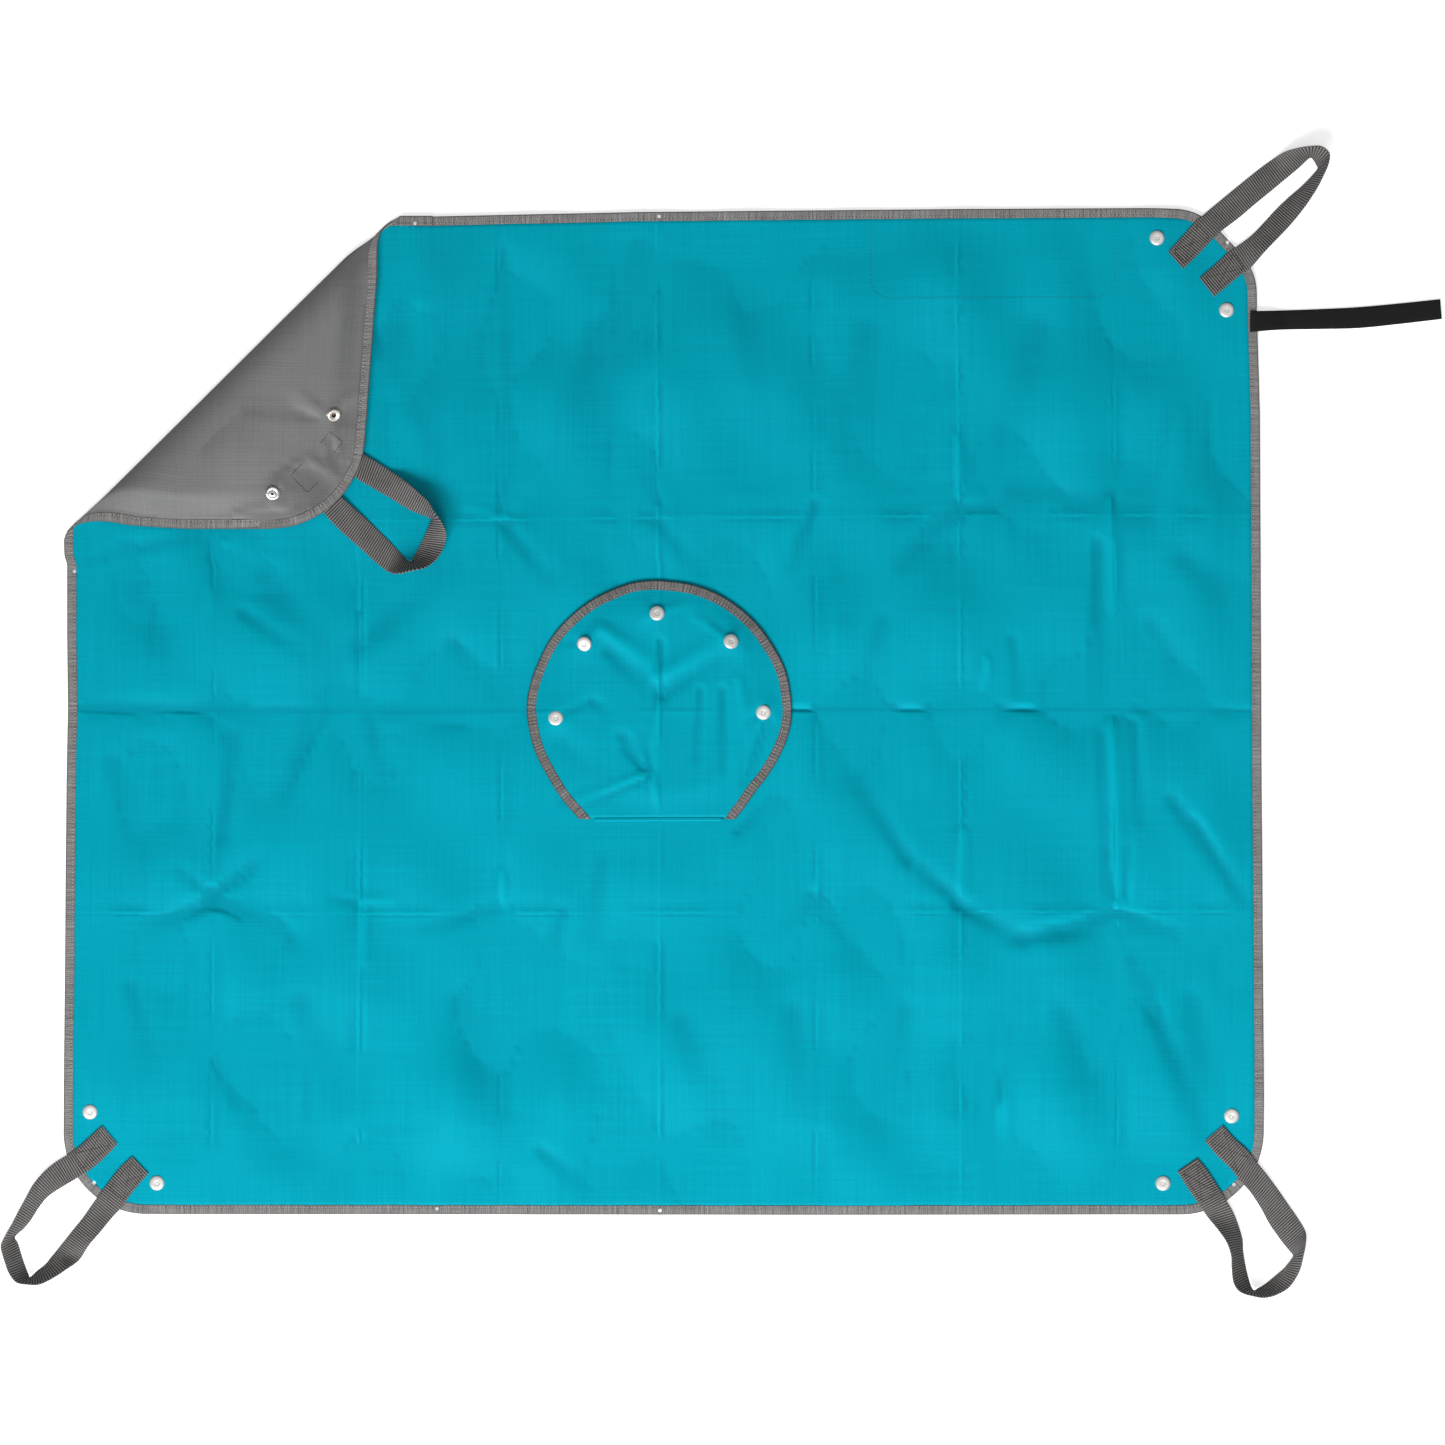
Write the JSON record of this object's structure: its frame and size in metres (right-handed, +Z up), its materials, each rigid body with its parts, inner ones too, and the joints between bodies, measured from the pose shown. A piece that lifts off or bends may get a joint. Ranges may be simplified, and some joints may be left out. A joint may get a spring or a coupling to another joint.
{
  "type": "potting mat",
  "caption": "Flat coated-cloth work mat with a taped edge, snaps and a webbing handle at each corner, a snap-down flap over a bound opening, a tie strap, and one corner folded over.",
  "frame": {"origin": "on the floor, under the middle of the whole outline (mat, handles and strap)", "axes": "+Z up, +X along the mat's long edge towards the tie strap, +Y towards the edge with the stitched patch"},
  "size_m": [1.4594, 1.1646, 0.026],
  "materials": {
    "cloth": "coated woven cloth, teal on top and grey below, low sheen",
    "lining": "grey lining cloth",
    "tape": "woven grey binding tape, stitched",
    "webbing": "ribbed grey webbing",
    "strap": "fine black webbing",
    "cap": "domed plated caps, plain",
    "socket": "plated snap sockets",
    "stud": "plated snap studs"
  },
  "bodies": {
    "mat": {"mat_cloth": "cloth", "edge_tape": "tape", "opening_tape": "tape", "opening_stud_1": "stud", "opening_stud_2": "stud", "opening_stud_3": "stud", "opening_stud_4": "stud", "opening_stud_5": "stud", "flap_hem": "cloth", "underside_patch": "lining", "tie_strap_end": "strap", "top_right_long_side_cap": "cap", "top_right_long_side_socket": "socket", "top_right_short_side_cap": "cap", "top_right_short_side_stud": "stud", "top_right_handle_end_1": "webbing", "top_right_handle_end_2": "webbing", "bottom_right_long_side_cap": "cap", "bottom_right_long_side_socket": "socket", "bottom_right_short_side_cap": "cap", "bottom_right_short_side_stud": "stud", "bottom_right_handle_end_1": "webbing", "bottom_right_handle_end_2": "webbing", "bottom_left_long_side_cap": "cap", "bottom_left_long_side_socket": "socket", "bottom_left_short_side_cap": "cap", "bottom_left_short_side_stud": "stud", "bottom_left_handle_end_1": "webbing", "bottom_left_handle_end_2": "webbing"},
    "flap": {"flap_cloth": "cloth", "flap_tape": "tape", "flap_cap_1": "cap", "flap_cap_2": "cap", "flap_cap_3": "cap", "flap_cap_4": "cap", "flap_cap_5": "cap", "flap_socket_1": "socket", "flap_socket_2": "socket", "flap_socket_3": "socket", "flap_socket_4": "socket", "flap_socket_5": "socket"},
    "fold_strip": {"fold_cloth": "cloth", "fold_tape_left": "tape", "fold_tape_rear": "tape"},
    "folded_corner": {"corner_cloth": "cloth", "corner_tape": "tape", "top_left_long_side_cap": "cap", "top_left_long_side_socket": "socket", "top_left_short_side_cap": "cap", "top_left_short_side_stud": "stud", "top_left_handle_end_1": "webbing", "top_left_handle_end_2": "webbing"},
    "top_right_handle": {"top_right_handle": "webbing"},
    "bottom_right_handle": {"bottom_right_handle": "webbing"},
    "bottom_left_handle": {"bottom_left_handle": "webbing"},
    "top_left_handle": {"top_left_handle": "webbing"},
    "tie_strap": {"tie_strap": "strap"}
  },
  "joints": [
    {"name": "flap_hinge", "type": "hinge", "parent": "mat", "child": "flap", "pos_m": [-0.05657, -0.09561, 0.0054], "axis": [1, 0, 0], "range_deg": [0, 175]},
    {"name": "fold_lower", "type": "hinge", "parent": "mat", "child": "fold_strip", "pos_m": [-0.43778, 0.3952, 0.00465], "axis": [0.7071, 0.7071, 0], "range_deg": [-90, 0]},
    {"name": "fold_upper", "type": "hinge", "parent": "fold_strip", "child": "folded_corner", "pos_m": [-0.43778, 0.3952, 0.02365], "axis": [0.7071, 0.7071, 0], "range_deg": [-94.2, 0]},
    {"name": "top_left_handle_hinge", "type": "hinge", "parent": "folded_corner", "child": "top_left_handle", "pos_m": [-0.36014, 0.22105, 0.01308], "axis": [-0.7071, -0.7071, 0], "range_deg": [0, 150]},
    {"name": "top_right_handle_hinge", "type": "hinge", "parent": "mat", "child": "top_right_handle", "pos_m": [0.52282, 0.48648, 0.00645], "axis": [0.7071, -0.7071, 0], "range_deg": [0, 150]},
    {"name": "bottom_right_handle_hinge", "type": "hinge", "parent": "mat", "child": "bottom_right_handle", "pos_m": [0.52282, -0.46891, 0.00645], "axis": [-0.7071, -0.7071, 0], "range_deg": [0, 150]},
    {"name": "bottom_left_handle_hinge", "type": "hinge", "parent": "mat", "child": "bottom_left_handle", "pos_m": [-0.62556, -0.46891, 0.00645], "axis": [-0.7071, 0.7071, 0], "range_deg": [0, 150]},
    {"name": "tie_strap_hinge", "type": "hinge", "parent": "mat", "child": "tie_strap", "pos_m": [0.54693, 0.39979, 0.00655], "axis": [0, -1, 0], "range_deg": [0, 160]}
  ],
  "couplings": [
    {"joint": "fold_upper", "follows": "fold_lower", "ratio": 1.0467}
  ]
}
